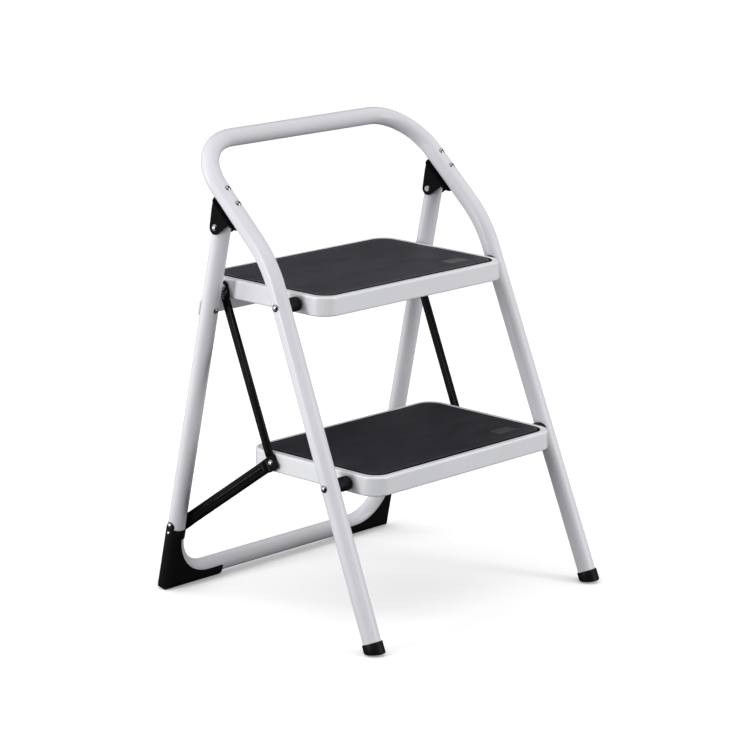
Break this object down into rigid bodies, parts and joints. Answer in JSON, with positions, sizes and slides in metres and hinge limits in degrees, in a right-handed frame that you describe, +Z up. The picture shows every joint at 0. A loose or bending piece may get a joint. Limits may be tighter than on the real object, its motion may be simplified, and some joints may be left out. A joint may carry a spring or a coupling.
{
  "type": "folding step stool",
  "caption": "Folding step stool: bent tube frame with a hand rail, pressed treads with rubber mats, hinged rear frame, coupled side struts, black brackets, foot caps and corner shoes.",
  "frame": {"origin": "on the floor, midway between the front feet and the rear shoes and on the left-right symmetry plane", "axes": "+Z up, +Y from the front feet towards the rear frame (the way the user climbs), +X to the user's right"},
  "size_m": [0.4836, 0.4339, 0.653],
  "materials": {
    "frame_paint": "gloss powder coat",
    "tread_paint": "gloss powder coat",
    "mat_rubber": "matt, fine ribs",
    "black_plastic": "satin moulded",
    "black_paint": "satin black powder coat",
    "zinc_steel": "bright zinc plate"
  },
  "bodies": {
    "front_frame": {"front_frame_tube": "frame_paint", "left_foot_cap": "black_plastic", "right_foot_cap": "black_plastic", "left_hinge_bracket": "black_paint", "right_hinge_bracket": "black_paint", "bracket_rivets": "zinc_steel", "hinge_pivot_rivets": "zinc_steel", "upper_tread_spacers": "black_plastic", "lower_tread_spacers": "black_plastic", "upper_tread_rivets": "zinc_steel", "lower_tread_rivets": "zinc_steel"},
    "rear_frame": {"rear_frame_tube": "frame_paint", "left_corner_shoe": "black_plastic", "right_corner_shoe": "black_plastic", "shoe_screws": "zinc_steel", "strut_anchor_rivets": "zinc_steel", "rear_cross_plate": "frame_paint", "cross_plate_rivets": "zinc_steel"},
    "upper_tread": {"upper_tread_tray": "tread_paint", "upper_tread_mat": "mat_rubber", "upper_strut_rivets": "zinc_steel"},
    "lower_tread": {"lower_tread_tray": "tread_paint", "lower_tread_mat": "mat_rubber", "strut_joint_rivets": "zinc_steel"},
    "left_upper_strut": {"left_upper_strut": "black_paint"},
    "left_lower_strut": {"left_lower_strut": "black_paint", "left_lower_strut_stud": "zinc_steel"},
    "right_upper_strut": {"right_upper_strut": "black_paint"},
    "right_lower_strut": {"right_lower_strut": "black_paint", "right_lower_strut_stud": "zinc_steel"}
  },
  "joints": [
    {"name": "rear_frame_fold", "type": "hinge", "parent": "front_frame", "child": "rear_frame", "pos_m": [0, 0.10123, 0.5345], "axis": [-1, 0, 0], "range_deg": [0, 37.76]},
    {"name": "upper_tread_fold", "type": "hinge", "parent": "front_frame", "child": "upper_tread", "pos_m": [0, -0.01543, 0.4424], "axis": [1, 0, 0], "range_deg": [0, 50]},
    {"name": "lower_tread_fold", "type": "hinge", "parent": "front_frame", "child": "lower_tread", "pos_m": [0, -0.11211, 0.2124], "axis": [1, 0, 0], "range_deg": [0, 50]},
    {"name": "left_upper_strut_swing", "type": "hinge", "parent": "upper_tread", "child": "left_upper_strut", "pos_m": [0, 0.12337, 0.4424], "axis": [-1, 0, 0], "range_deg": [0, 50]},
    {"name": "left_lower_strut_swing", "type": "hinge", "parent": "lower_tread", "child": "left_lower_strut", "pos_m": [0, 0.02669, 0.2124], "axis": [-1, 0, 0], "range_deg": [0, 127.18]},
    {"name": "right_upper_strut_swing", "type": "hinge", "parent": "upper_tread", "child": "right_upper_strut", "pos_m": [0, 0.12337, 0.4424], "axis": [-1, 0, 0], "range_deg": [0, 50]},
    {"name": "right_lower_strut_swing", "type": "hinge", "parent": "lower_tread", "child": "right_lower_strut", "pos_m": [0, 0.02669, 0.2124], "axis": [-1, 0, 0], "range_deg": [0, 127.18]}
  ],
  "couplings": [
    {"joint": "upper_tread_fold", "follows": "rear_frame_fold", "ratio": 1.3243},
    {"joint": "lower_tread_fold", "follows": "rear_frame_fold", "ratio": 1.3243},
    {"joint": "left_upper_strut_swing", "follows": "rear_frame_fold", "ratio": 1.3243},
    {"joint": "left_lower_strut_swing", "follows": "rear_frame_fold", "ratio": 3.3684},
    {"joint": "right_upper_strut_swing", "follows": "rear_frame_fold", "ratio": 1.3243},
    {"joint": "right_lower_strut_swing", "follows": "rear_frame_fold", "ratio": 3.3684}
  ]
}
